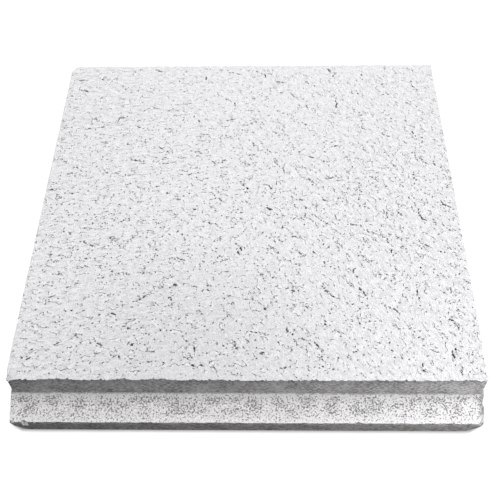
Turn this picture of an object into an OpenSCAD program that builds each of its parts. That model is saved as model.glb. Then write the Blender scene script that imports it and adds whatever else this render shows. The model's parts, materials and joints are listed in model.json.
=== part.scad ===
// Suspended ceiling tile: one board of mineral fibre with a stepped (tegular) edge
// front and back, plain sawn sides and a fissured face.
// It lies on its back with the face up. The origin is the middle of the back.

/* [Board] */
// Width of the board, from sawn side to sawn side
board_w = 160; // [120:1:240]
// Depth of the face, from step to step
face_d = 155; // [120:1:240]
// Thickness of the board, from back to face
board_t = 15; // [12:0.5:24]

/* [Stepped edge] */
// Reach of each flange past the face
flange_reach = 11; // [6:0.5:16]
// Thickness of the flanges
flange_t = 5.6; // [4:0.2:8]
// How much each flange end is rubbed back at its outer edge
flange_taper = 1.6; // [0.2:0.1:3]

/* [Wear] */
// Chamfer along the edges of the face
arris = 0.6; // [0.2:0.1:1.2]
// Corner radius of the face
corner_r = 1.6; // [0.5:0.1:4]
// Radius of the rubbed corner at the back left of the face
rubbed_corner_r = 4.5; // [1:0.1:8]
// Length of the break under the left front corner
left_break = 4.8; // [2:0.1:8]
// Length of the break under the right front corner
right_break = 6.1; // [2:0.1:8]
// Length of the chip off the top of the left front corner of the ledge
left_chip = 2.4; // [1:0.1:4]
// Length of the chip off the top of the right front corner of the ledge
right_chip = 2; // [1:0.1:4]

/* [Fissures] */
// Fissures on each square centimetre of the face
fissure_density = 2.5; // [0.4:0.1:3]
// Fissures in a chain
chain_links = 3; // [1:1:6]
// Distance between the middles of neighbours in a chain
chain_step = 2.2; // [1:0.1:5]
// Length of the longest fissure
longest_fissure = 4.2; // [3:0.1:7]
// Length of the shortest fissure, a mere pit
shortest_fissure = 0.6; // [0.5:0.1:2]
// Width of the widest fissure
fissure_width = 0.45; // [0.3:0.05:1.2]
// Depth of the deepest fissure
fissure_depth = 1.3; // [0.8:0.1:3]
// Bare border between the fissures' middles and the edges of the face
fissure_border = 2.2; // [1.5:0.1:8]
// How far a fissure may lie from its place in its chain
fissure_drift = 0.7; // [0:0.1:3]
// Direction of the grain at the left side, in degrees
grain_left = 5; // [-90:1:90]
// Direction of the grain at the right side, in degrees
grain_right = -70; // [-90:1:90]
// How far a chain may turn away from the grain, in degrees
grain_scatter = 40; // [0:1:90]
// How far a fissure may turn away from its chain, in degrees
chain_scatter = 30; // [0:1:90]
// Number that picks one layout of lengths, depths and bends
layout = 11; // [1:1:500]

/* [Hidden] */

$fn = 48;

half_w = board_w / 2;
half_face = face_d / 2;
half_d = half_face + flange_reach;
// Overlap of a cutter past the surface that it opens
over = 1;

// Each break has three planes: their runs along the front and along the side, as shares of its length,
// and up the corner, as a share of the flange's thickness
break_planes = [[0.55, 0.45, 0.93], [1, 0.6, 0.7], [1.5, 0.7, 0.24]];
// Runs of the left and right chips along the side and down the corner, as shares of their lengths
left_chip_shares = [0.35, 0.6];
right_chip_shares = [1.3, 1.3];

// Steps of an even spread over the unit square: the plastic number's two inverse powers
spread_step = [0.7548776662, 0.5698402910];
chain_count = floor(fissure_density * board_w * face_d / 100 / chain_links);
fissure_count = chain_count * chain_links;
// Long fissures are rare: the length goes with this power of an even draw
length_power = 4;
// Narrowest fissure and shallowest fissure, as shares of the widest and the deepest
narrow_share = 0.55;
shallow_share = 0.5;
// Sideways bend of a fissure at its knees, as a share of its length
bend_share = 0.22;
// Knees of a fissure: each has its place along it and its share of the bend
fissure_knees = [[-0.22, 1], [0.14, 0.5]];
// A fissure under this length is a pit with one knee
pit_length = 1.6;
pit_knees = [[-0.1, 1]];
draw_length = rands(0, 1, fissure_count, layout);
draw_width = rands(narrow_share, 1, fissure_count, layout + 1);
draw_depth = rands(shallow_share, 1, fissure_count, layout + 2);
draw_bend = rands(-bend_share, bend_share, fissure_count, layout + 3);
draw_turn = rands(-chain_scatter, chain_scatter, fissure_count, layout + 4);
draw_drift_x = rands(-fissure_drift, fissure_drift, fissure_count, layout + 5);
draw_drift_y = rands(-fissure_drift, fissure_drift, fissure_count, layout + 6);
draw_heading = rands(-grain_scatter, grain_scatter, chain_count, layout + 7);

function fraction(v) = v - floor(v);
function mix(a, b, share) = a + (b - a) * share;

// Place of chain i on the face, as shares of the field that fissures may fill
function spread(i) = [for (step = spread_step) fraction(0.5 + (i + 1) * step)];
function fissure_length(i) =
    mix(shortest_fissure, longest_fissure, pow(draw_length[i], length_power));

// What is left of a square corner outside its rounding, in the first quadrant
module outside_corner(r) {
    difference() {
        translate([-r, -r]) square(r + over);
        translate([-r, -r]) circle(r);
    }
}

// Outline of the face: square, with its four corners rubbed round
module face_outline() {
    difference() {
        square([board_w, face_d], center = true);
        for (x = [-1, 1], y = [-1, 1])
            translate([x * half_w, y * half_face])
                mirror([x < 0 ? 1 : 0, 0])
                    mirror([0, y < 0 ? 1 : 0])
                        outside_corner(x < 0 && y > 0 ? rubbed_corner_r : corner_r);
    }
}

// Outline of the back: the board's width between two flanges with tapered ends
module back_outline() {
    end_w = half_w - flange_taper;
    front_flange = [[-half_w, -half_face], [-end_w, -half_d], [end_w, -half_d], [half_w, -half_face]];
    rear_flange = [for (point = front_flange) -point];
    polygon(concat(front_flange, rear_flange));
}

// Wedge that takes the arris off one edge of the face, of a given length along X
module arris_wedge(length) {
    rotate([90, 0, 90])
        linear_extrude(length, center = true)
            polygon([[-arris, over], [-arris, 0], [0, -arris], [over, -arris], [over, over]]);
}

module arris_cuts() {
    for (turn = [0, 180])
        rotate(turn) {
            translate([0, half_face, board_t]) arris_wedge(board_w + 2 * over);
            translate([half_w, 0, board_t]) rotate(-90) arris_wedge(face_d + 2 * over);
        }
}

// Corner broken off the underside of the front flange: side is -1 at the left, 1 at the right
module corner_break(side, length) {
    translate([side * (half_w - flange_taper), -half_d, 0])
        mirror([side > 0 ? 1 : 0, 0, 0])
            for (shares = break_planes)
                corner_wedge([shares.x * length, shares.y * length, shares.z * flange_t]);
}

// Corner chipped off the top of the front flange: side is -1 at the left, 1 at the right
module corner_chip(side, length, shares) {
    translate([side * (half_w - flange_taper), -half_d, flange_t])
        mirror([side > 0 ? 1 : 0, 0, 0])
            mirror([0, 0, 1])
                corner_wedge([length, shares.x * length, shares.y * length]);
}

// Wedge that one plane cuts off a corner at the origin: its runs are along X, Y and Z.
// Its own corner lies outside the board, and its runs grow to keep the cut in place.
module corner_wedge(runs) {
    growth = 1 + over / runs.x + over / runs.y + over / runs.z;
    translate([-over, -over, -over])
        polyhedron(
            [
                [0, 0, 0],
                [runs.x * growth, 0, 0],
                [0, runs.y * growth, 0],
                [0, 0, runs.z * growth]
            ],
            [[0, 1, 2], [0, 3, 1], [0, 2, 3], [1, 3, 2]]
        );
}

// Outline of one fissure along X: a bent sliver, widest at its knees
module fissure_outline(length, width, bend) {
    knees = length < pit_length ? pit_knees : fissure_knees;
    function side(knee, turn) = [knee.x * length, knee.y * bend * length + turn * width / 2];
    polygon(concat(
        [[-length / 2, 0]],
        [for (knee = knees) side(knee, -1)],
        [[length / 2, 0]],
        [for (i = [len(knees) - 1:-1:0]) side(knees[i], 1)]
    ));
}

// All the fissures, in chains along the grain. What would cross the bare border is left out.
module fissures() {
    limit = [half_w - fissure_border, half_face - fissure_border];
    for (chain = [0:chain_count - 1]) {
        at = spread(chain);
        heading = mix(grain_left, grain_right, at.x) + draw_heading[chain];
        for (link = [0:chain_links - 1]) {
            i = chain * chain_links + link;
            along = (link - (chain_links - 1) / 2) * chain_step;
            x = (2 * at.x - 1) * limit.x + along * cos(heading) + draw_drift_x[i];
            y = (2 * at.y - 1) * limit.y + along * sin(heading) + draw_drift_y[i];
            depth = fissure_depth * draw_depth[i];
            if (abs(x) < limit.x && abs(y) < limit.y)
                translate([x, y, board_t - depth])
                    rotate(heading + draw_turn[i])
                        linear_extrude(depth + over)
                            fissure_outline(fissure_length(i), fissure_width * draw_width[i], draw_bend[i]);
        }
    }
}

// The whole board
module tile() {
    color("whitesmoke")
        difference() {
            union() {
                linear_extrude(board_t) face_outline();
                linear_extrude(flange_t) back_outline();
            }
            arris_cuts();
            corner_break(-1, left_break);
            corner_break(1, right_break);
            corner_chip(-1, left_chip, left_chip_shares);
            corner_chip(1, right_chip, right_chip_shares);
            fissures();
        }
}

tile();
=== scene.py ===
"""A suspended ceiling tile of mineral fibre, lying face up on a pale floor.

The board is one piece, modelled over the solid that it replaces: a stepped block with a fissured and
painted face, speckled ledges, sawn walls, worn edges and a plain back.
"""

import json
import math
import random

import bmesh
import bpy
from mathutils import Euler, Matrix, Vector, noise
from mathutils.bvhtree import BVHTree


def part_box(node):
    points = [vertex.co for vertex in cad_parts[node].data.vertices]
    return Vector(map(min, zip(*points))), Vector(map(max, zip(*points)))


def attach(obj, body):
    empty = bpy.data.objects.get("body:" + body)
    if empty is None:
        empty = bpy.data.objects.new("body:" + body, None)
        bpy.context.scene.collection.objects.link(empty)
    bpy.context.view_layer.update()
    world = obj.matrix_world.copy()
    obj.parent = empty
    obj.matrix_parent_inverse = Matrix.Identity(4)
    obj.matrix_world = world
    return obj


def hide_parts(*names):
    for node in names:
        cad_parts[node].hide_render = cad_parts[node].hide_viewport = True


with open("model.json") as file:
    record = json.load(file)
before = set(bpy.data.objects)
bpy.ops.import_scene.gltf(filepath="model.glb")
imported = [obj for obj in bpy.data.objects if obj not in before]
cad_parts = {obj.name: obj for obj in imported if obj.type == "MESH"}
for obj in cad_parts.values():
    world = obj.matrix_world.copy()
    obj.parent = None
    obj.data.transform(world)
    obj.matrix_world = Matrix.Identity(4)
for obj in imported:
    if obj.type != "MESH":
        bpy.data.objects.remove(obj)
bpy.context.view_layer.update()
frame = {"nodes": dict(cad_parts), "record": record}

# Sizes of the board, in metres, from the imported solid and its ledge
MM = 0.001
TINY = 0.01 * MM
_, BOX_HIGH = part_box("tile")
HALF_W = BOX_HIGH.x
HALF_D = BOX_HIGH.y
FACE_Z = BOX_HIGH.z
LEDGE = next(mount for mount in frame["record"]["mounts"] if mount["name"] == "front_ledge")
LEDGE_Z = LEDGE["pos_m"][2]
HALF_FACE = 2 * abs(LEDGE["pos_m"][1]) - HALF_D

# Corners of the face, and breaks of the lower front corners, as on the solid
FLANGE_TAPER = 1.6 * MM
CORNER_R = 1.6 * MM
RUBBED_CORNER_R = 4.5 * MM
LEFT_BREAK = 4.8 * MM
RIGHT_BREAK = 6.1 * MM
# Each break has three planes: their runs along the front and along the side, as shares of its length,
# and up the corner, as a share of the flange's thickness
BREAK_PLANES = ((0.55, 0.45, 0.93), (1, 0.6, 0.7), (1.5, 0.7, 0.24))
# Runs of the chips off the top of the ledge's corners along the front, along the side and down
LEFT_CHIP = Vector((2.4, 0.84, 1.44)) * MM
RIGHT_CHIP = Vector((2.0, 2.6, 2.6)) * MM

# Heights of a face's normal: past the first the face looks up or down, past the next it is level, and
# between the last two it is slanted
FACING = 0.5
LEVEL = 0.9
SLANTED = (0.1, 0.95)
# An edge runs along an axis where this share of its length does
ALONG_SHARE = 0.9
# Sharpest turn between faces that is shaded smooth
SMOOTH_ANGLE = math.radians(50)

# Wear of the edges: long, short and fine waves along an edge, and how far the wear reaches from it
ARRIS_SINK = 0.25 * MM
LONG_WEAR, LONG_WAVE = 0.6 * MM, 8 * MM
SHORT_WEAR, SHORT_WAVE = 0.55 * MM, 2.2 * MM
FINE_WEAR, FINE_WAVE = 0.68 * MM, 0.65 * MM
WEAR_REACH = 3.0 * MM
WEAR_DROP = 1.6 * MM
# Rows of the noise that wears the ledges, the front and back edges of the face, and its sides, and the
# level of the noise where they lie, halfway between whole ones
LEDGE_ROW, EDGE_ROW, SIDE_ROW = 0, 10, 30
ROW_LEVEL = 0.5
# The paint spreads the front and back edges of the face out a little before they are worn
PAINT_SPREAD = 0.44 * MM
# The sides of the face and the ledges are worn less than the front and back edges of the face
SIDE_SHARE = 0.1
LEDGE_SHARE = 0.4
# The left front corner of the face leans in towards its top, and its tip is rubbed down
LEAN = 0.25 * MM
LEAN_REACH = Vector((10, 14)) * MM
TIP_DROP = 1.0 * MM
TIP_REACH = 5.0 * MM
# Nicks of the ledge's outer edge: place along the front, width and depth
NICKS = [Vector(nick) * MM for nick in ((37.5, 1.0, 0.8), (-73.5, 0.9, 0.6), (-21.0, 0.7, 0.4))]
# The torn notch in the right end of the front ledge: how far from the wall, its width and depth
NOTCH = Vector((3.2, 1.7, 1.0)) * MM

# Cells of the board's surface: the equal parts that each pass cuts along the width, the depth of the
# face, a ledge, a wall and the edge of a flange
WIDTH_PARTS = (20, 8)
FACE_PARTS = (31, 5)
LEDGE_PARTS = (11,)
WALL_PARTS = (9,)
FLANGE_PARTS = (6,)
# Reach of each halving of the cells: round a fissure, along all edges of the face, and along its front
# and back edges alone
FISSURE_REACHES = (0.84 * MM, 0.48 * MM)
EDGE_REACH = 1.5 * MM
FINE_EDGE_REACH = 0.7 * MM

# Direction of the grain at the left and right sides of the face, and how far a pit may turn from it
GRAIN_LEFT = math.radians(5)
GRAIN_RIGHT = math.radians(-58)
GRAIN_SCATTER = math.radians(55)

# Fissures: the run of their sides, their ragged outline, and how they close here and there
FISSURE_SLOPE = 0.13 * MM
RAGGED_SEED = 7
RAGGED_WAVE = 0.7 * MM
RAGGED = 0.14 * MM
OPEN_WAVE = 0.75 * MM
OPEN_LEAST, OPEN_MEAN, OPEN_SWING = 0.08, 0.46, 1.6

# Chains of fine pits between the fissures, along the grain
CHAIN_SEED = 5
CHAIN_COUNT = 130
CHAIN_LINKS = (1, 4)
LINK_STEP = (0.7 * MM, 1.5 * MM)
LINK_TURN = math.radians(40)
PIT_BORDER = 1.2 * MM
PIT_LENGTH = (0.35 * MM, 1.2 * MM)
PIT_WIDTH = (0.14 * MM, 0.30 * MM)
PIT_DEPTH = (0.30 * MM, 0.75 * MM)

# Relief of the crust on the face, and roughness of the sawn walls
CRUST_SINK = 0.30 * MM
SAWN_SINK = 0.3 * MM
SAWN_WAVE = 1.6 * MM
SAWN_DETAIL = 3


# Edit mode

def edited():
    """The mesh in edit mode."""
    return bmesh.from_edit_mesh(bpy.context.object.data)


def select_faces(passes):
    """Select the faces whose middle and normal pass a test."""
    bpy.ops.mesh.select_mode(type="FACE")
    bpy.ops.mesh.select_all(action="DESELECT")
    for face in edited().faces:
        if passes(face.calc_center_median(), face.normal):
            face.select_set(True)
    bmesh.update_edit_mesh(bpy.context.object.data)


def select_points(passes):
    """Select the points whose place passes a test."""
    bpy.ops.mesh.select_mode(type="VERT")
    bpy.ops.mesh.select_all(action="DESELECT")
    for point in edited().verts:
        if passes(point.co):
            point.select_set(True)
    bmesh.update_edit_mesh(bpy.context.object.data)


def slice_along(axis, low, high, passes):
    """Cut every edge along an axis, with its middle from low to high, into equal parts, pass by pass."""
    for parts in passes:
        bpy.ops.mesh.select_mode(type="EDGE")
        bpy.ops.mesh.select_all(action="DESELECT")
        for edge in edited().edges:
            start, end = (point.co for point in edge.verts)
            run = end - start
            if abs(run[axis]) > ALONG_SHARE * run.length and low < (start[axis] + end[axis]) / 2 < high:
                edge.select_set(True)
        bmesh.update_edit_mesh(bpy.context.object.data)
        bpy.ops.mesh.subdivide(number_cuts=parts - 1)


def fade(away, reach):
    """A smooth share that falls from 1 at no distance to 0 at a reach."""
    share = 1 - min(abs(away) / reach, 1)
    return share * share * (3 - 2 * share)


# The board's mesh

def stepped_block():
    """A block with a ledge front and back, open underneath, with its flange ends tapered."""
    bpy.ops.object.select_all(action="DESELECT")
    bpy.ops.mesh.primitive_cube_add(size=1, location=(0, 0, LEDGE_Z / 2),
                                    scale=(2 * HALF_W, 2 * HALF_D, LEDGE_Z))
    block = bpy.context.object
    block.name = "tile_board"
    bpy.ops.object.transform_apply(location=True, rotation=True, scale=True)
    bpy.ops.object.mode_set(mode="EDIT")
    for y in (-HALF_FACE, HALF_FACE):
        bpy.ops.mesh.select_all(action="SELECT")
        bpy.ops.mesh.bisect(plane_co=(0, y, 0), plane_no=(0, 1, 0))
    select_faces(lambda middle, normal: normal.z > FACING and abs(middle.y) < HALF_FACE)
    bpy.ops.mesh.extrude_region_move(TRANSFORM_OT_translate={"value": (0, 0, FACE_Z - LEDGE_Z)})
    select_points(lambda place: abs(place.y) > HALF_D - TINY)
    bpy.ops.transform.resize(value=(1 - FLANGE_TAPER / HALF_W, 1, 1), center_override=(0, 0, 0))
    select_faces(lambda middle, normal: normal.z < -FACING)
    bpy.ops.mesh.delete(type="FACE")
    return block


def slice_block():
    """Cut the block's surface into small, nearly square cells."""
    slice_along(0, -HALF_W, HALF_W, WIDTH_PARTS)
    slice_along(1, -HALF_FACE, HALF_FACE, FACE_PARTS)
    slice_along(1, HALF_FACE, HALF_D, LEDGE_PARTS)
    slice_along(1, -HALF_D, -HALF_FACE, LEDGE_PARTS)
    slice_along(2, LEDGE_Z, FACE_Z, WALL_PARTS)
    slice_along(2, 0, LEDGE_Z, FLANGE_PARTS)


def halve_cells(passes):
    """Halve the cells of the face whose middle passes a test."""
    select_faces(lambda middle, normal: normal.z > FACING and middle.z > FACE_Z - TINY and passes(middle))
    bpy.ops.mesh.subdivide(number_cuts=1)


def refine_face(floors):
    """Make the face's cells finer along its edges and round each fissure, and split the many-sided ones."""
    def near_edge(middle):
        return HALF_W - abs(middle.x) < EDGE_REACH or HALF_FACE - abs(middle.y) < EDGE_REACH

    def near_fissure(middle):
        return floors.find_nearest(Vector((middle.x, middle.y, 0)), reach)[2] is not None

    halve_cells(near_edge)
    halve_cells(lambda middle: HALF_FACE - abs(middle.y) < FINE_EDGE_REACH)
    for reach in FISSURE_REACHES:
        halve_cells(near_fissure)
    bpy.ops.mesh.select_face_by_sides(number=4, type="GREATER", extend=False)
    bpy.ops.mesh.quads_convert_to_tris(quad_method="BEAUTY", ngon_method="BEAUTY")


def close_back():
    """Close the underside with one flat face."""
    bpy.ops.mesh.select_mode(type="EDGE")
    bpy.ops.mesh.select_all(action="DESELECT")
    bpy.ops.mesh.select_non_manifold(extend=False, use_wire=False, use_boundary=True,
                                     use_multi_face=False, use_non_contiguous=False, use_verts=False)
    bpy.ops.mesh.edge_face_add()
    bpy.ops.mesh.select_all(action="SELECT")
    bpy.ops.mesh.normals_make_consistent(inside=False)


def assign_finish(block, index):
    """Give the selected faces one of the block's finishes."""
    block.active_material_index = index
    bpy.ops.object.material_slot_assign()


def name_surfaces(block, finishes):
    """Give the face, the walls, the ledges and the back their finishes."""
    for finish in finishes.values():
        block.data.materials.append(finish)
    middle_z = (LEDGE_Z + FACE_Z) / 2
    tests = {
        "walls": lambda middle, normal: abs(normal.z) < FACING,
        "ledges": lambda middle, normal: normal.z > FACING and middle.z < middle_z,
        "back": lambda middle, normal: normal.z < -FACING,
    }
    for name, passes in tests.items():
        select_faces(passes)
        assign_finish(block, list(finishes).index(name))


# Worn edges and corners

def round_corners():
    """Rub the upright corners of the face block round: square rings about a corner become arcs."""
    for point in edited().verts:
        if point.co.z < LEDGE_Z + TINY:
            continue
        x_side = math.copysign(1, point.co.x)
        y_side = math.copysign(1, point.co.y)
        radius = RUBBED_CORNER_R if x_side < 0 < y_side else CORNER_R
        across = abs(point.co.x) - (HALF_W - radius)
        along = abs(point.co.y) - (HALF_FACE - radius)
        if across <= 0 or along <= 0:
            continue
        squeeze = max(across, along) / math.hypot(across, along)
        point.co.x = x_side * (HALF_W - radius + across * squeeze)
        point.co.y = y_side * (HALF_FACE - radius + along * squeeze)
    bmesh.update_edit_mesh(bpy.context.object.data)


def soften_arris():
    """Draw the edges of the face in and down."""
    def on_arris(place):
        outer = abs(place.x) > HALF_W - TINY or abs(place.y) > HALF_FACE - TINY
        return outer and place.z > FACE_Z - TINY

    select_points(on_arris)
    bpy.ops.transform.resize(value=(1 - ARRIS_SINK / HALF_W, 1 - ARRIS_SINK / HALF_FACE, 1),
                             center_override=(0, 0, 0))
    bpy.ops.transform.translate(value=(0, 0, -ARRIS_SINK))


def worn_depth(along, row):
    """How deep an edge is worn at a distance along it, here and there, by its own row of noise."""
    waves = ((LONG_WEAR, LONG_WAVE), (SHORT_WEAR, SHORT_WAVE), (FINE_WEAR, FINE_WAVE))
    return sum(wear * max(0, noise.noise(Vector((along / wave, row, ROW_LEVEL)))) for wear, wave in waves)


def wear_edges():
    """Wear the edges of the face and of the ledges inwards, unevenly."""
    for point in edited().verts:
        place = point.co.copy()
        x_side = math.copysign(1, place.x)
        y_side = math.copysign(1, place.y)
        on_face = place.z > LEDGE_Z + TINY
        edge_y = HALF_FACE if on_face else HALF_D
        drop = fade((FACE_Z if on_face else LEDGE_Z) - place.z, WEAR_DROP)
        wear_y = fade(edge_y - abs(place.y), WEAR_REACH) * drop
        wear_x = fade(HALF_W - abs(place.x), WEAR_REACH) * drop
        if wear_y > 0 and on_face:
            point.co.y -= y_side * wear_y * (worn_depth(place.x, EDGE_ROW + y_side) - PAINT_SPREAD)
        elif wear_y > 0:
            point.co.y -= y_side * wear_y * LEDGE_SHARE * worn_depth(place.x, LEDGE_ROW + y_side)
        if wear_x > 0 and on_face:
            point.co.x -= x_side * wear_x * SIDE_SHARE * worn_depth(place.y, SIDE_ROW + x_side)
    bmesh.update_edit_mesh(bpy.context.object.data)


def lean_corner():
    """Lean the left front corner of the face block in towards its top, and rub its tip down."""
    for point in edited().verts:
        rise = (point.co.z - LEDGE_Z) / (FACE_Z - LEDGE_Z)
        if rise > 0:
            near_side = fade(point.co.x + HALF_W, LEAN_REACH.x)
            near_front = fade(point.co.y + HALF_FACE, LEAN_REACH.y)
            point.co.x += LEAN * rise * near_side * near_front
            from_tip = math.hypot(point.co.x + HALF_W, point.co.y + HALF_FACE)
            point.co.z -= TIP_DROP * rise * fade(from_tip, TIP_REACH)
    bmesh.update_edit_mesh(bpy.context.object.data)


def nick_ledge():
    """Nick the outer edge of the front ledge, and tear a notch in its right end."""
    notch_from_wall, notch_width, notch_depth = NOTCH
    for point in edited().verts:
        place = point.co.copy()
        if place.y > -HALF_FACE - TINY or place.z > LEDGE_Z + TINY:
            continue
        drop = fade(LEDGE_Z - place.z, 2 * WEAR_DROP)
        for along, width, depth in NICKS:
            share = fade(place.x - along, width) * fade(place.y + HALF_D, WEAR_REACH) * drop
            point.co.y += depth * share
        near_end = fade(HALF_W - place.x, WEAR_REACH)
        near_notch = fade(place.y + HALF_FACE + notch_from_wall, notch_width)
        point.co.x -= notch_depth * near_end * near_notch * drop
    bmesh.update_edit_mesh(bpy.context.object.data)


def cut_corner(corner, inward, runs):
    """Cut a corner off the selected faces by a plane, whose runs go inward along the three axes."""
    outward = -Vector([way / run for way, run in zip(inward, runs)])
    bpy.ops.mesh.bisect(plane_co=corner + Vector((inward.x * runs.x, 0, 0)), plane_no=outward.normalized(),
                        clear_outer=True, use_fill=True)


def break_corner(side, length):
    """Break the lower corner off the front flange: side is -1 at the left, 1 at the right."""
    corner = Vector((side * (HALF_W - FLANGE_TAPER), -HALF_D, 0))
    for along, across, up in BREAK_PLANES:
        bpy.ops.mesh.select_all(action="SELECT")
        cut_corner(corner, Vector((-side, 1, 1)), Vector((along * length, across * length, up * LEDGE_Z)))


def chip_corner(side, runs):
    """Chip the top corner off the front flange: side is -1 at the left, 1 at the right."""
    corner = Vector((side * (HALF_W - FLANGE_TAPER), -HALF_D, LEDGE_Z))
    select_faces(lambda middle, normal: middle.y < -HALF_FACE - WEAR_REACH and side * middle.x > 0)
    cut_corner(corner, Vector((-side, 1, -1)), runs)


def finish_breaks(block, finishes):
    """Give the broken and chipped corners the finish of the walls, and the left chip that of the ledge."""
    def broken(middle, normal):
        slanted = SLANTED[0] < abs(normal.z) < SLANTED[1]
        return slanted and middle.y < -HALF_FACE - WEAR_REACH and abs(middle.x) > HALF_W - 2 * RIGHT_BREAK

    def left_chip(middle, normal):
        return broken(middle, normal) and normal.z > 0 and middle.x < 0

    for name, passes in (("walls", broken), ("ledges", left_chip)):
        select_faces(passes)
        assign_finish(block, list(finishes).index(name))


# Fissures and pits of the face

def solid_floors():
    """The floors of the solid's fissures, laid flat, and the depth of each."""
    solid = frame["nodes"]["tile"].data
    for face in solid.polygons:
        if face.normal.z > LEVEL and LEDGE_Z + TINY < face.center.z < FACE_Z - TINY:
            corners = [solid.vertices[i].co for i in face.vertices]
            yield [Vector((corner.x, corner.y, 0)) for corner in corners], FACE_Z - face.center.z


def sliver(middle, length, width, heading):
    """A flat sliver with pointed ends."""
    along = Vector((math.cos(heading), math.sin(heading), 0)) * length / 2
    across = Vector((-math.sin(heading), math.cos(heading), 0)) * width / 2
    return [middle - along, middle - across, middle + along, middle + across]


def pit_chains():
    """Short pits in chains along the grain, laid flat, and the depth of each."""
    draw = random.Random(CHAIN_SEED)
    for _ in range(CHAIN_COUNT):
        share = draw.random()
        across = (2 * share - 1) * (HALF_W - PIT_BORDER)
        along = draw.uniform(-1, 1) * (HALF_FACE - PIT_BORDER)
        middle = Vector((across, along, 0))
        grain = GRAIN_LEFT + (GRAIN_RIGHT - GRAIN_LEFT) * share
        heading = grain + draw.uniform(-GRAIN_SCATTER, GRAIN_SCATTER)
        for _ in range(draw.randint(*CHAIN_LINKS)):
            turn = heading + draw.uniform(-LINK_TURN, LINK_TURN)
            pit = sliver(middle, draw.uniform(*PIT_LENGTH), draw.uniform(*PIT_WIDTH), turn)
            yield pit, draw.uniform(*PIT_DEPTH)
            middle = middle + Vector((math.cos(turn), math.sin(turn), 0)) * draw.uniform(*LINK_STEP)


def fissure_floors():
    """A search tree of all the floors, laid flat, and their depths."""
    points = []
    polygons = []
    depths = []
    for corners, depth in [*solid_floors(), *pit_chains()]:
        polygons.append(range(len(points), len(points) + len(corners)))
        points += corners
        depths.append(depth)
    return BVHTree.FromPolygons(points, polygons), depths


def ragged(flat):
    """A place on the face, moved a little so that an outline found there is torn."""
    drift = noise.noise_vector(flat / RAGGED_WAVE) * RAGGED
    return Vector((flat.x + drift.x, flat.y + drift.y, 0))


def open_share(flat):
    """How far a fissure is open at a place on the face: it closes here and there."""
    share = OPEN_MEAN + OPEN_SWING * noise.noise(flat / OPEN_WAVE)
    return min(1, max(OPEN_LEAST, share))


def mark_fissures(block, floors, depths):
    """Mark the points of the fissures: a vertex group of depth, and two attributes that the paint reads.

    The attribute pit is 1 inside a fissure where it is open, and fissure_depth is its depth, 1 for the
    deepest; the paint darkens by it as painted shade.
    """
    group = block.vertex_groups.new(name="fissures")
    pit = block.data.attributes.new("pit", "FLOAT", "POINT")
    fissure_depth = block.data.attributes.new("fissure_depth", "FLOAT", "POINT")
    deepest = max(depths)
    noise.seed_set(RAGGED_SEED)
    for point in block.data.vertices:
        if point.co.z < FACE_Z - TINY:
            continue
        flat = Vector((point.co.x, point.co.y, 0))
        _, _, index, away = floors.find_nearest(ragged(flat), FISSURE_REACHES[-1])
        if index is not None:
            share = fade(away, FISSURE_SLOPE) * open_share(flat)
            fissure_depth.data[point.index].value = depths[index] / deepest
            pit.data[point.index].value = share
            group.add([point.index], share * depths[index] / deepest, "REPLACE")
    return deepest


def press_fissures(block, deepest):
    """Press the fissures into the face."""
    press = block.modifiers.new("fissures", "DISPLACE")
    press.direction = "Z"
    press.mid_level = 0
    press.strength = -deepest
    press.vertex_group = "fissures"
    bpy.ops.object.modifier_apply(modifier=press.name)


# Rough walls

def wall_weights(block, walls):
    """A vertex group of the sawn walls, which have one material, but not of the breaks or the flat back."""
    raised = {i for face in block.data.polygons if face.material_index == walls for i in face.vertices}
    fixed = {i for face in block.data.polygons if face.normal.z < -SLANTED[0] for i in face.vertices}
    block.vertex_groups.new(name="walls").add(list(raised - fixed), 1, "REPLACE")


def roughen_walls(block):
    """Wear the sawn walls and their edges inwards a little, unevenly."""
    grit = bpy.data.textures.new("sawn_grit", "CLOUDS")
    grit.noise_scale = SAWN_WAVE
    grit.noise_depth = SAWN_DETAIL
    rough = block.modifiers.new("sawn", "DISPLACE")
    rough.texture = grit
    rough.texture_coords = "LOCAL"
    rough.mid_level = 1
    rough.strength = SAWN_SINK
    rough.vertex_group = "walls"
    bpy.ops.object.modifier_apply(modifier=rough.name)


# Node networks

WHITE = (1, 1, 1, 1)
# Middle of the values that noise takes
NOISE_MIDDLE = 0.5


def add_node(tree, kind, inputs, **settings):
    """Add a node, set its settings, and link or set its inputs."""
    node = tree.nodes.new(kind)
    for name, value in settings.items():
        setattr(node, name, value)
    for key, value in inputs.items():
        if isinstance(value, bpy.types.NodeSocket):
            tree.links.new(value, node.inputs[key])
        else:
            node.inputs[key].default_value = value
    return node


def sums(tree, operation, first, second=0.0):
    """The result of one sum on two numbers."""
    return add_node(tree, "ShaderNodeMath", {0: first, 1: second}, operation=operation).outputs[0]


def weighted(tree, first, first_weight, second, second_weight):
    """The sum of two numbers, each times its weight."""
    return sums(tree, "ADD", sums(tree, "MULTIPLY", first, first_weight),
                sums(tree, "MULTIPLY", second, second_weight))


def step_between(tree, value, low, high, start=0.0, end=1.0):
    """A smooth step from start to end as a value goes from low to high."""
    inputs = {"Value": value, "From Min": low, "From Max": high, "To Min": start, "To Max": end}
    return add_node(tree, "ShaderNodeMapRange", inputs, interpolation_type="SMOOTHSTEP").outputs["Result"]


def vector_sums(tree, operation, first, second):
    """The result of one sum on two vectors."""
    return add_node(tree, "ShaderNodeVectorMath", {0: first, 1: second}, operation=operation).outputs[0]


def scaled(tree, vector, factor):
    """A vector times a number."""
    return add_node(tree, "ShaderNodeVectorMath", {0: vector, "Scale": factor}, operation="SCALE").outputs[0]


def split(tree, vector):
    """The three parts of a vector."""
    return add_node(tree, "ShaderNodeSeparateXYZ", {0: vector}).outputs


def cloud(tree, place, wave, detail=2.0, roughness=0.5, dimensions="2D"):
    """Noise of a wavelength in millimetres: the node has its value and its colour."""
    inputs = {"Vector": place, "Scale": 1 / wave, "Detail": detail, "Roughness": roughness}
    return add_node(tree, "ShaderNodeTexNoise", inputs, noise_dimensions=dimensions)


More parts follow.
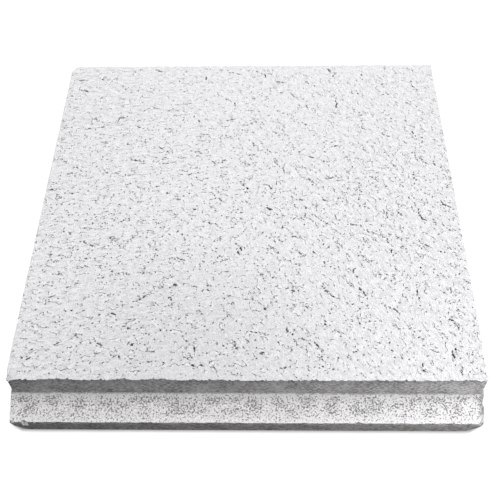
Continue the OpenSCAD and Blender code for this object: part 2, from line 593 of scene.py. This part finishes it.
def warped(tree, place, wave, reach):
    """A place in millimetres, moved up to about reach by noise."""
    drift = vector_sums(tree, "SUBTRACT", cloud(tree, place, wave).outputs["Color"], (NOISE_MIDDLE,) * 3)
    return vector_sums(tree, "ADD", place, scaled(tree, drift, 2 * reach))


def mixed(tree, share, first, second):
    """A colour between two others."""
    node = add_node(tree, "ShaderNodeMix", {0: share, 6: first, 7: second}, data_type="RGBA")
    return node.outputs[2]


def mixed_number(tree, share, first, second):
    """A number between two others."""
    return add_node(tree, "ShaderNodeMix", {0: share, 2: first, 3: second}, data_type="FLOAT").outputs[0]


# Patterns of the painted face, in millimetres

# How far noise and creases are drawn out along the grain
GRAIN_STRETCH = 2.4
CREASE_STRETCH = 1.6
# Lumps of the crust: their size, and the size and reach of their drift
LUMP_SIZE = 3.2
LUMP_DRIFT = (6.0, 1.0)
# Creases: their size, the size and reach of their drift, and how far the noise is from its middle at the
# edge of a crease and at the edge of its lips
CREASE_SIZE = 2.4
CREASE_DRIFT = (1.2, 0.25)
CREASE_EDGE, LIP_EDGE = 0.045, 0.14
# Where the creases open: the size of the stretches, and the heights of the noise between which they open
OPENING_SIZE = 1.6
OPENING_RISE = (0.525, 0.60)
# Dashes: the size and reach of their drift, the least length as a share of the width, the radii between
# which one fades out, and the share of the dashes that are fully dark
DASH_DRIFT = (1.6, 0.45)
DASH_LEAST = 1.2
DASH_FADE = (0.1, 1.3)
DASH_DARK = 0.6


def along_grain(tree, place, heading, stretch):
    """A place turned so that the grain runs along X, and drawn out along it."""
    turned = add_node(tree, "ShaderNodeVectorRotate", {"Vector": place, "Angle": -heading},
                      rotation_type="Z_AXIS")
    return vector_sums(tree, "MULTIPLY", turned.outputs[0], (1 / stretch, 1, 1))


def rightwards(tree, place):
    """How far a place is to the right, from 0 at the left side to 1 at the right side."""
    return step_between(tree, split(tree, place)["X"], -HALF_W / MM, HALF_W / MM)


def grained_cloud(tree, place, wave, detail=1.0, stretch=GRAIN_STRETCH):
    """Noise drawn out along the grain, which turns from the left side to the right side."""
    clouds = []
    for heading in (GRAIN_LEFT, GRAIN_RIGHT):
        drawn_out = along_grain(tree, place, heading, stretch)
        clouds.append(cloud(tree, drawn_out, wave, detail).outputs[0])
    return mixed_number(tree, rightwards(tree, place), *clouds)


def crust_height(tree, place):
    """Coarse height of the crust, from 0 to 1: lumps a few millimetres across."""
    return cloud(tree, warped(tree, place, *LUMP_DRIFT), LUMP_SIZE, detail=1.0).outputs[0]


def crease_pattern(tree, place):
    """Creases, thin wandering lines that open here and there, and the lips along them: each up to 1."""
    drifted = warped(tree, place, *CREASE_DRIFT)
    folds = grained_cloud(tree, drifted, CREASE_SIZE, detail=1.5, stretch=CREASE_STRETCH)
    away = sums(tree, "ABSOLUTE", sums(tree, "SUBTRACT", folds, NOISE_MIDDLE))
    line = step_between(tree, away, 0.0, CREASE_EDGE, 1.0, 0.0)
    lip = sums(tree, "SUBTRACT", step_between(tree, away, CREASE_EDGE, LIP_EDGE, 1.0, 0.0), line)
    opened = step_between(tree, grained_cloud(tree, place, OPENING_SIZE), *OPENING_RISE)
    return sums(tree, "MULTIPLY", line, opened), sums(tree, "MULTIPLY", lip, opened)


def dash_heading(tree, place, chance):
    """Direction of a dash: along the grain, give or take its scatter, by a chance from 0 to 1."""
    grain = sums(tree, "MULTIPLY", rightwards(tree, place), GRAIN_RIGHT - GRAIN_LEFT)
    scatter = sums(tree, "MULTIPLY", sums(tree, "SUBTRACT", chance, 0.5), 2 * GRAIN_SCATTER)
    return sums(tree, "ADD", sums(tree, "ADD", grain, GRAIN_LEFT), scatter)


def dash_pattern(tree, place, size, share, longest, width):
    """Short torn dashes along the grain, in a share of the cells of one size: up to 1 in a dash, 0 outside.

    The greatest length and the width are measured from the middle of a dash.
    """
    bent = warped(tree, place, *DASH_DRIFT)
    cell = add_node(tree, "ShaderNodeTexVoronoi", {"Vector": bent, "Scale": 1 / size},
                    voronoi_dimensions="2D", feature="F1")
    chance = split(tree, cell.outputs["Color"])
    away = vector_sums(tree, "SUBTRACT", bent, cell.outputs["Position"])
    unturn = sums(tree, "SUBTRACT", 0.0, dash_heading(tree, place, chance[0]))
    turned = add_node(tree, "ShaderNodeVectorRotate", {"Vector": away, "Angle": unturn},
                      rotation_type="Z_AXIS")
    local = split(tree, turned.outputs[0])
    length = step_between(tree, chance[1], 0.0, 1.0, DASH_LEAST * width, longest)
    reach = sums(tree, "DIVIDE", local["X"], length)
    breadth = sums(tree, "DIVIDE", local["Y"], width)
    radius = sums(tree, "SQRT", sums(tree, "ADD", sums(tree, "MULTIPLY", reach, reach),
                                     sums(tree, "MULTIPLY", breadth, breadth)))
    dash = step_between(tree, radius, *DASH_FADE, 1.0, 0.0)
    strength = step_between(tree, chance[2], DASH_DARK * share, share, 1.0, 0.0)
    return sums(tree, "MULTIPLY", dash, strength)


def relief_group():
    """Geometry nodes that sink the painted face by the lumps of its crust."""
    tree = bpy.data.node_groups.new("crust_relief", "GeometryNodeTree")
    for way in ("INPUT", "OUTPUT"):
        tree.interface.new_socket("Geometry", in_out=way, socket_type="NodeSocketGeometry")
    source = tree.nodes.new("NodeGroupInput")
    place = scaled(tree, tree.nodes.new("GeometryNodeInputPosition").outputs[0], 1 / MM)
    depth = sums(tree, "SUBTRACT", 1.0, crust_height(tree, place))
    painted = add_node(tree, "GeometryNodeInputNamedAttribute", {"Name": "paint"}, data_type="FLOAT")
    sink = sums(tree, "MULTIPLY", sums(tree, "MULTIPLY", depth, painted.outputs["Attribute"]), -CRUST_SINK)
    offset = add_node(tree, "ShaderNodeCombineXYZ", {"Z": sink})
    moved = add_node(tree, "GeometryNodeSetPosition",
                     {"Geometry": source.outputs[0], "Offset": offset.outputs[0]})
    add_node(tree, "NodeGroupOutput", {0: moved.outputs[0]})
    return tree


def paint_weights(block):
    """A vertex group of the painted face, without its edges."""
    group = block.vertex_groups.new(name="paint")
    inside = [point.index for point in block.data.vertices if point.co.z > FACE_Z - TINY]
    group.add(inside, 1, "REPLACE")


def raise_crust(block):
    """Give the painted face its relief of lumps."""
    relief = block.modifiers.new("relief", "NODES")
    relief.node_group = relief_group()
    bpy.ops.object.modifier_apply(modifier=relief.name)


# Finishes

PAINT_ROUGHNESS = 0.85
FIBRE_ROUGHNESS = 0.9
SHEEN = 0.25
# Strength of each finer layer of the noise in a grain, beside the layer before
GRAIN_ROUGHNESS = 0.6


def new_finish(name, roughness):
    """A material with a matt shader, and its places in millimetres."""
    finish = bpy.data.materials.new(name)
    finish.use_nodes = True
    tree = finish.node_tree
    shader = tree.nodes["Principled BSDF"]
    shader.inputs["Roughness"].default_value = roughness
    shader.inputs["Specular IOR Level"].default_value = SHEEN
    place = scaled(tree, tree.nodes.new("ShaderNodeTexCoord").outputs["Object"], 1 / MM)
    return finish, tree, shader, place


def raise_bumps(tree, shader, height, depth):
    """Bump the shader by a height from 0 to 1 that stands for a depth in metres."""
    bump = add_node(tree, "ShaderNodeBump", {"Height": height, "Distance": depth, "Strength": 1.0})
    tree.links.new(bump.outputs["Normal"], shader.inputs["Normal"])


# Colours of the paint, from the painted highlight on its lips down to the dark of the fissures, grey fibre
# and painted shade
PAINT_LIP_HIGHLIGHT = (0.98, 0.98, 0.99, 1)
PAINT_HIGH = (0.965, 0.965, 0.98, 1)
PAINT_LOW = (0.725, 0.725, 0.74, 1)
CREASE_SHADE_GREY = (0.36, 0.36, 0.37, 1)
CORE_AND_SHADE_DARK = (0.06, 0.06, 0.064, 1)
# Crust of the paint: the sizes of its grains and clots, the share of the grains, and the heights between
# which it turns pale
GRAIN_SIZE, CLOT_SIZE = 0.48, 1.1
GRAIN_SHARE = 0.6
CRUST_RISE = (0.39, 0.60)
# The marks are weaker at the front and back edges of the face and a little weaker towards its front, and
# the dark ones towards its back: distances in millimetres, and the least share that is left
EDGE_FADE, EDGE_LEAST = (0.5, 2.0), 0.35
FRONT_FADE, FRONT_LEAST = (-75.0, -48.0), 0.95
BACK_FADE, BACK_LEAST = (0.0, 70.0), 0.5
# Dashes and specks: the size of a cell, the share of the cells that have one, its greatest length and its
# width. The dashes crowd in places, and the specks lie in a pattern that is moved away from theirs
DASHES = (1.8, 0.34, 0.5, 0.23)
SPECKS = (2.3, 0.26, 0.36, 0.31)
CROWD_SIZE, CROWD_RISE, CROWD_LEAST = 3.0, (0.42, 0.60), 0.4
SPECK_SHIFT = (0, 500, 0)
# Beads: dark spots along the creases
BEAD_SIZE, BEAD_RISE = 0.7, (0.51, 0.59)
# A fissure is painted dark as it opens, partly grey fibre and partly painted shade that deepens with its
# depth, and a shallow one less so
PIT_RISE, DEPTH_SHADE_RISE, DEPTH_SHADE_LEAST = (0.06, 0.42), (0.2, 0.9), 0.6
# How strongly lips (painted highlight), creases and dashes (painted shade) colour the paint, and how far
# they stand out of it or lie in it
LIP_HIGHLIGHT_SHARE, CREASE_SHADE_SHARE, DASH_SHARE = 0.8, 0.36, 0.95
LIP_HEIGHT, CREASE_DEPTH, DASH_DEPTH = 0.3, 0.4, 0.6
PAINT_BUMP = 0.32 * MM
# A patch of painted shade on the paint: its middle, in millimetres, the inverse of its reach along each
# axis, the shares of its reach between which it fades out, and its strength
SHADE_PATCH_GREY = (0.35, 0.35, 0.355, 1)
SHADE_PATCH_PLACE = (-20, -75, 15)
SHADE_PATCH_SHRINK = (1 / 75, 1 / 70, 0)
SHADE_PATCH_FADE, SHADE_PATCH_SHARE = (0.15, 1.0), 0.18


def painted_shade_patch(tree, place):
    """Painted shade: a faint, broad grey patch at the front of the face, left of the middle."""
    away = vector_sums(tree, "MULTIPLY", vector_sums(tree, "SUBTRACT", place, SHADE_PATCH_PLACE), SHADE_PATCH_SHRINK)
    distance = add_node(tree, "ShaderNodeVectorMath", {0: away}, operation="LENGTH").outputs["Value"]
    return step_between(tree, distance, *SHADE_PATCH_FADE, SHADE_PATCH_SHARE, 0.0)


def mark_shares(tree, place):
    """The share of all marks that a place on the face keeps, and a further share of the dark ones."""
    backwards = split(tree, place)["Y"]
    from_edge = sums(tree, "SUBTRACT", HALF_FACE / MM, sums(tree, "ABSOLUTE", backwards))
    edges = step_between(tree, from_edge, *EDGE_FADE, EDGE_LEAST, 1.0)
    front = step_between(tree, backwards, *FRONT_FADE, FRONT_LEAST, 1.0)
    back = step_between(tree, backwards, *BACK_FADE, 1.0, BACK_LEAST)
    return sums(tree, "MULTIPLY", edges, front), back


def dark_marks(tree, place, kept, creases):
    """Dashes and specks, of which a share is kept, and the beads of the creases: up to 1."""
    crowds = step_between(tree, grained_cloud(tree, place, CROWD_SIZE), *CROWD_RISE, CROWD_LEAST, 1.0)
    dashes = sums(tree, "MULTIPLY", dash_pattern(tree, place, *DASHES), crowds)
    specks = dash_pattern(tree, vector_sums(tree, "ADD", place, SPECK_SHIFT), *SPECKS)
    marks = sums(tree, "MULTIPLY", sums(tree, "MAXIMUM", dashes, specks), kept)
    spots = step_between(tree, cloud(tree, place, BEAD_SIZE, detail=1.0).outputs[0], *BEAD_RISE)
    return sums(tree, "MAXIMUM", marks, sums(tree, "MULTIPLY", creases, spots))


def fissure_shade(tree):
    """How dark a fissure is painted, by how far it is open and how deep it is, partly grey fibre and partly
    painted shade: up to 1.
    """
    pit, fissure_depth = (add_node(tree, "ShaderNodeAttribute", {}, attribute_name=name).outputs["Fac"]
                 for name in ("pit", "fissure_depth"))
    return sums(tree, "MULTIPLY", step_between(tree, pit, *PIT_RISE),
                step_between(tree, fissure_depth, *DEPTH_SHADE_RISE, DEPTH_SHADE_LEAST, 1.0))


def painted_face():
    """Matt white paint on a fissured crust, with dark pits, grey creases and pale lips, with painted light
    and shade of its crust, lips, creases and pits, and a patch of painted shade.
    """
    finish, tree, shader, place = new_finish("white_paint", PAINT_ROUGHNESS)
    grains = cloud(tree, place, GRAIN_SIZE, roughness=GRAIN_ROUGHNESS).outputs[0]
    clots = grained_cloud(tree, place, CLOT_SIZE, detail=2.0)
    crust = weighted(tree, grains, GRAIN_SHARE, clots, 1 - GRAIN_SHARE)
    kept, kept_dark = mark_shares(tree, place)
    creases, lips = (sums(tree, "MULTIPLY", part, kept) for part in crease_pattern(tree, place))
    marks = sums(tree, "MULTIPLY", dark_marks(tree, place, kept, creases), kept_dark)
    # Painted light and shade, with some tone of the paint's own: paler on the crust's raised grains, greyer
    # in its hollows
    colour = mixed(tree, step_between(tree, crust, *CRUST_RISE), PAINT_LOW, PAINT_HIGH)
    # Painted shade: a faint grey patch at the front left of the face
    colour = mixed(tree, painted_shade_patch(tree, place), colour, SHADE_PATCH_GREY)
    # Painted highlight: the lips along the creases are painted paler, as well as raised by the bumps
    colour = mixed(tree, sums(tree, "MULTIPLY", lips, LIP_HIGHLIGHT_SHARE), colour, PAINT_LIP_HIGHLIGHT)
    # Painted shade: the creases are painted grey where shade falls in them, as well as sunk by the bumps
    colour = mixed(tree, sums(tree, "MULTIPLY", creases, CREASE_SHADE_SHARE), colour, CREASE_SHADE_GREY)
    # Painted shade along with grey fibre: dashes, specks, beads and fissures are painted dark where shade
    # falls in their hollows
    dark = sums(tree, "MAXIMUM", sums(tree, "MULTIPLY", marks, DASH_SHARE), fissure_shade(tree))
    tree.links.new(mixed(tree, dark, colour, CORE_AND_SHADE_DARK), shader.inputs["Base Color"])
    raised = sums(tree, "ADD", crust, sums(tree, "MULTIPLY", lips, LIP_HEIGHT))
    sunk = weighted(tree, creases, CREASE_DEPTH, marks, DASH_DEPTH)
    raise_bumps(tree, shader, sums(tree, "SUBTRACT", raised, sunk), PAINT_BUMP)
    return finish


WALL_PALE = (0.50, 0.495, 0.50, 1)
WALL_DARK = (0.14, 0.138, 0.14, 1)
WALL_SHADE = (0.10, 0.098, 0.092, 1)
# Grain of the sawn walls: its size, how it is drawn out level, its share beside broad patches of another
# size, and the heights of the noise between which it turns pale
SAWN_GRAIN, SAWN_DRAW = 0.45, (0.36, 0.36, 1.1)
SAWN_SHARE, SAWN_PATCHES = 0.8, 5.0
SAWN_RISE = (0.39, 0.61)
SAWN_BUMP = 0.5 * MM
# Painted shade at the foot of the walls, by the floor, and under the rim of the face: the heights in
# millimetres between which it fades, and its strength
FOOT_SHADE, FOOT_SHARE = (3.0, 5.8), 0.5
RIM_SHADE, RIM_SHARE = (11.0, 15.0), 0.35


def sawn_wall():
    """Sawn mineral fibre: a grey wall with a fine grain that runs level, with painted shade at its foot and
    under its rim.
    """
    finish, tree, shader, place = new_finish("sawn_fibre", FIBRE_ROUGHNESS)
    drawn_out = vector_sums(tree, "MULTIPLY", place, SAWN_DRAW)
    grain = cloud(tree, drawn_out, SAWN_GRAIN, detail=3.0, roughness=0.65, dimensions="3D").outputs[0]
    patches = cloud(tree, place, SAWN_PATCHES, dimensions="3D").outputs[0]
    share = weighted(tree, grain, SAWN_SHARE, patches, 1 - SAWN_SHARE)
    colour = mixed(tree, step_between(tree, share, *SAWN_RISE), WALL_DARK, WALL_PALE)
    height = split(tree, place)["Z"]
    # Painted shade: the wall is painted darker at its foot, by the floor, and under the rim of the face
    painted_shade = sums(tree, "MAXIMUM", step_between(tree, height, *FOOT_SHADE, FOOT_SHARE, 0.0),
                step_between(tree, height, *RIM_SHADE, 0.0, RIM_SHARE))
    tree.links.new(mixed(tree, painted_shade, colour, WALL_SHADE), shader.inputs["Base Color"])
    raise_bumps(tree, shader, grain, SAWN_BUMP)
    return finish


LEDGE_PALE = (0.94, 0.925, 0.932, 1)
LEDGE_DULL = (0.74, 0.725, 0.732, 1)
LEDGE_LIT = (0.96, 0.95, 0.955, 1)
PORE_DARK = (0.16, 0.16, 0.16, 1)
# Size and reach of the drift of all that follows the wall
WALL_DRIFT = (1.2, 0.9)
# Pores: their size, the size and reach of their drift, and the heights of the noise between which one opens
PORE_SIZE, PORE_DRIFT = 0.62, (1.5, 0.3)
PORE_RISE, PORE_SHARE = (0.63, 0.75), 0.85
# They crowd together away from the wall and the outer edge, and in clusters: distances in millimetres,
# the least share that is left, the size of a cluster, and how far a crowd lifts the noise
INNER_FADE, INNER_LEAST = (0.4, 2.0), 0.1
OUTER_FADE, OUTER_LEAST = (6.0, 11.0), 0.3
CLUSTER_SIZE, CLUSTER_RISE, CLUSTER_LEAST = 4.5, (0.36, 0.62), 0.4
CROWD_LIFT = 0.17
# Fine grain of the ledges: its size, and the heights of the noise between which it turns pale
FINE_SIZE, FINE_RISE = 0.65, (0.34, 0.62)
LEDGE_BUMP = 0.2 * MM
# Painted light: the ledges are paler near the wall and towards the right: distances in millimetres, and the
# share there
LIT_NEAR_WALL, LIT_NEAR_WALL_SHARE = (0.0, 4.0), 0.8
LIT_RIGHT, LIT_RIGHT_SHARE = (-10.0, 80.0), 0.9
# They have painted shade in the corner at the wall, and are soiled over a length at their right ends, which
# run in by a slope from the wall
CORNER_SHADE, CORNER_SHARE = (0.0, 0.7), 0.5
TAPER_SLOPE = FLANGE_TAPER / (HALF_D - HALF_FACE)
SOILED_END = 2.6
END_SOIL, END_SHARE = (HALF_W / MM - SOILED_END, HALF_W / MM), 0.75


def ledge_pores(tree, place, from_wall):
    """Dense dark pores, fewer at the wall and at the outer edge: up to 1."""
    inner = step_between(tree, from_wall, *INNER_FADE, INNER_LEAST, 1.0)
    outer = step_between(tree, from_wall, *OUTER_FADE, 1.0, OUTER_LEAST)
    patches = cloud(tree, place, CLUSTER_SIZE).outputs[0]
    clusters = step_between(tree, patches, *CLUSTER_RISE, CLUSTER_LEAST, 1.0)
    crowd = sums(tree, "MULTIPLY", sums(tree, "MULTIPLY", inner, outer), clusters)
    grain = cloud(tree, warped(tree, place, *PORE_DRIFT), PORE_SIZE, roughness=GRAIN_ROUGHNESS).outputs[0]
    lifted = sums(tree, "ADD", grain, sums(tree, "MULTIPLY", crowd, CROWD_LIFT))
    return step_between(tree, lifted, *PORE_RISE)


def ledge_shade_and_soil(tree, drifted, from_wall):
    """Painted shade in the corner at the wall, and dirt at the right end: up to 1."""
    from_left = sums(tree, "ADD", split(tree, drifted)["X"], sums(tree, "MULTIPLY", from_wall, TAPER_SLOPE))
    return sums(tree, "MAXIMUM", step_between(tree, from_wall, *CORNER_SHADE, CORNER_SHARE, 0.0),
                step_between(tree, from_left, *END_SOIL, 0.0, END_SHARE))


def cut_ledge():
    """Milled mineral fibre: pale, with dark pores, painted light near the wall and towards the right,
    painted shade in its corner, and soiled at its right end.
    """
    finish, tree, shader, place = new_finish("milled_fibre", FIBRE_ROUGHNESS)
    drifted = warped(tree, place, *WALL_DRIFT)
    from_wall = sums(tree, "SUBTRACT", sums(tree, "ABSOLUTE", split(tree, drifted)["Y"]), HALF_FACE / MM)
    pores = ledge_pores(tree, place, from_wall)
    fine = cloud(tree, place, FINE_SIZE, roughness=GRAIN_ROUGHNESS).outputs[0]
    # Painted light: the ledge is painted paler near the wall and towards the right, as light falls there
    painted_light = sums(tree, "MAXIMUM", step_between(tree, from_wall, *LIT_NEAR_WALL, LIT_NEAR_WALL_SHARE, 0.0),
                 step_between(tree, split(tree, place)["X"], *LIT_RIGHT, 0.0, LIT_RIGHT_SHARE))
    colour = mixed(tree, step_between(tree, fine, *FINE_RISE), LEDGE_DULL, LEDGE_PALE)
    colour = mixed(tree, painted_light, colour, LEDGE_LIT)
    # Painted shade in the corner at the wall, and dirt at the right end
    colour = mixed(tree, ledge_shade_and_soil(tree, drifted, from_wall), colour, PORE_DARK)
    colour = mixed(tree, sums(tree, "MULTIPLY", pores, PORE_SHARE), colour, PORE_DARK)
    tree.links.new(colour, shader.inputs["Base Color"])
    raise_bumps(tree, shader, sums(tree, "SUBTRACT", fine, pores), LEDGE_BUMP)
    return finish


BACK_DULL = (0.50, 0.49, 0.46, 1)
BACK_PALE = (0.62, 0.61, 0.58, 1)
# Patches and grain of the back: their sizes, the share of the patches, and the heights of the noise
# between which it turns pale
BACK_PATCHES, BACK_GRAIN = 14.0, 1.1
PATCH_SHARE = 0.5
BACK_RISE = (0.35, 0.65)
BACK_BUMP = 0.2 * MM


def plain_back():
    """Bare mineral fibre: a pale grey back with soft patches."""
    finish, tree, shader, place = new_finish("bare_fibre", FIBRE_ROUGHNESS)
    patches = cloud(tree, place, BACK_PATCHES, detail=4.0).outputs[0]
    grain = cloud(tree, place, BACK_GRAIN, detail=3.0).outputs[0]
    both = weighted(tree, patches, PATCH_SHARE, grain, 1 - PATCH_SHARE)
    share = step_between(tree, both, *BACK_RISE)
    tree.links.new(mixed(tree, share, BACK_DULL, BACK_PALE), shader.inputs["Base Color"])
    raise_bumps(tree, shader, grain, BACK_BUMP)
    return finish


# The whole board

def make_board():
    """Model the board with its finishes, its wear and its fissures, and put it in the solid's place."""
    finishes = {"face": painted_face(), "walls": sawn_wall(), "ledges": cut_ledge(), "back": plain_back()}
    floors, depths = fissure_floors()
    block = stepped_block()
    slice_block()
    refine_face(floors)
    close_back()
    name_surfaces(block, finishes)
    round_corners()
    soften_arris()
    wear_edges()
    lean_corner()
    nick_ledge()
    break_corner(-1, LEFT_BREAK)
    break_corner(1, RIGHT_BREAK)
    chip_corner(-1, LEFT_CHIP)
    chip_corner(1, RIGHT_CHIP)
    finish_breaks(block, finishes)
    bpy.ops.object.mode_set(mode="OBJECT")
    paint_weights(block)
    wall_weights(block, list(finishes).index("walls"))
    deepest = mark_fissures(block, floors, depths)
    raise_crust(block)
    press_fissures(block, deepest)
    roughen_walls(block)
    bpy.ops.object.shade_smooth_by_angle(angle=SMOOTH_ANGLE)
    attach(block, "root")
    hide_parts("tile")


# Stage, light and camera

FLOOR_SIZE = 4.0
FLOOR_GREY = (0.28, 0.28, 0.28, 1)
FLOOR_GLOW = 0.86
# Half the side of the opening under the board, through which its back can be seen, and the floor's gap to it
FLOOR_OPENING = 70 * MM
FLOOR_GAP = 0.02 * MM
# Reach of the painted contact shadow, from ambient occlusion, where the board meets the floor
SHADOW_SEAM_REACH = 1.5 * MM


def seen_share(tree):
    """1 for a ray that shows the background, straight or in gloss or glass, and 0 for one that lights."""
    rays = tree.nodes.new("ShaderNodeLightPath").outputs
    return sums(tree, "MAXIMUM", rays["Is Camera Ray"],
                sums(tree, "MAXIMUM", rays["Is Glossy Ray"], rays["Is Transmission Ray"]))


def make_floor():
    """A pale floor that shows white where it is lit and keeps the board's shadow, with a painted contact
    shadow where the board meets it.
    """
    bpy.ops.object.select_all(action="DESELECT")
    bpy.ops.mesh.primitive_plane_add(size=FLOOR_SIZE)
    floor = bpy.context.object
    floor.name = "floor"
    bpy.ops.object.mode_set(mode="EDIT")
    bpy.ops.transform.translate(value=(0, 0, -FLOOR_GAP))
    bpy.ops.mesh.inset(thickness=FLOOR_SIZE / 2 - FLOOR_OPENING)
    bpy.ops.mesh.delete(type="FACE")
    bpy.ops.object.mode_set(mode="OBJECT")
    finish = bpy.data.materials.new("pale_floor")
    finish.use_nodes = True
    tree = finish.node_tree
    shader = tree.nodes["Principled BSDF"]
    shader.inputs["Base Color"].default_value = FLOOR_GREY
    shader.inputs["Roughness"].default_value = 1.0
    shader.inputs["Specular IOR Level"].default_value = 0.0
    # Painted shadow: the glow is darkened by ambient occlusion where the board meets the floor
    seam_shadow = add_node(tree, "ShaderNodeAmbientOcclusion", {"Distance": SHADOW_SEAM_REACH}).outputs["AO"]
    strength = sums(tree, "MULTIPLY", mixed_number(tree, seen_share(tree), 0.0, FLOOR_GLOW),
                    sums(tree, "MULTIPLY", seam_shadow, seam_shadow))
    glow = add_node(tree, "ShaderNodeEmission", {"Color": WHITE, "Strength": strength})
    both = add_node(tree, "ShaderNodeAddShader", {0: shader.outputs[0], 1: glow.outputs[0]})
    tree.links.new(both.outputs[0], tree.nodes["Material Output"].inputs["Surface"])
    floor.data.materials.append(finish)


SKY_STRENGTH = 0.20
# Each lamp's name, place and aim in metres, size in metres and power in watts
LAMPS = (
    ("soft_lamp", (0.045, 0.01, 0.75), (0, 0, 0), 0.8, 4.55),
    ("low_lamp", (0.20, -0.18, 0.037), (0.04, -0.08, 0.008), 0.08, 0.37),
    ("back_lamp", (0.04, 0.32, 0.30), (0.02, 0.05, 0.015), 0.3, 0.35),
)


def add_lamp(name, place, aim, size, power):
    """A soft round lamp that points at a place."""
    lamp = bpy.data.lights.new(name, "AREA")
    lamp.shape = "DISK"
    lamp.size = size
    lamp.energy = power
    seat = bpy.data.objects.new(name, lamp)
    seat.location = place
    seat.rotation_euler = (Vector(aim) - Vector(place)).to_track_quat("-Z", "Y").to_euler()
    seat.visible_camera = False
    bpy.context.scene.collection.objects.link(seat)


def make_light():
    """A large soft lamp above, a low one at the front right, one at the back, and a sky."""
    world = bpy.data.worlds.new("studio")
    bpy.context.scene.world = world
    world.use_nodes = True
    tree = world.node_tree
    sky = tree.nodes["Background"].inputs
    sky["Color"].default_value = WHITE
    tree.links.new(mixed_number(tree, seen_share(tree), SKY_STRENGTH, 1.0), sky["Strength"])
    for lamp in LAMPS:
        add_lamp(*lamp)


# Camera fitted to the photograph's edges: its lens and sensor are in millimetres, and nothing nearer than
# the nearest distance is drawn
CAMERA_PLACE = Vector((7.7, -196.3, 247.8)) * MM
CAMERA_YAW = math.radians(2.26)
CAMERA_PITCH = math.radians(53.55)
CAMERA_ROLL = math.radians(-1.86)
CAMERA_LENS = 56.6
SENSOR_WIDTH = 36
NEAREST = 10 * MM


def make_camera():
    """The camera at the photograph's place."""
    camera = bpy.data.cameras.new("camera")
    camera.sensor_width = SENSOR_WIDTH
    camera.lens = CAMERA_LENS
    camera.clip_start = NEAREST
    seat = bpy.data.objects.new("camera", camera)
    aim = Euler((math.pi / 2 - CAMERA_PITCH, 0, CAMERA_YAW)).to_matrix()
    aim @= Euler((0, 0, CAMERA_ROLL)).to_matrix()
    seat.rotation_euler = aim.to_euler()
    seat.location = CAMERA_PLACE
    bpy.context.scene.collection.objects.link(seat)
    bpy.context.scene.camera = seat


make_camera()
make_light()
make_floor()
make_board()
bpy.context.scene.view_settings.view_transform = "Standard"
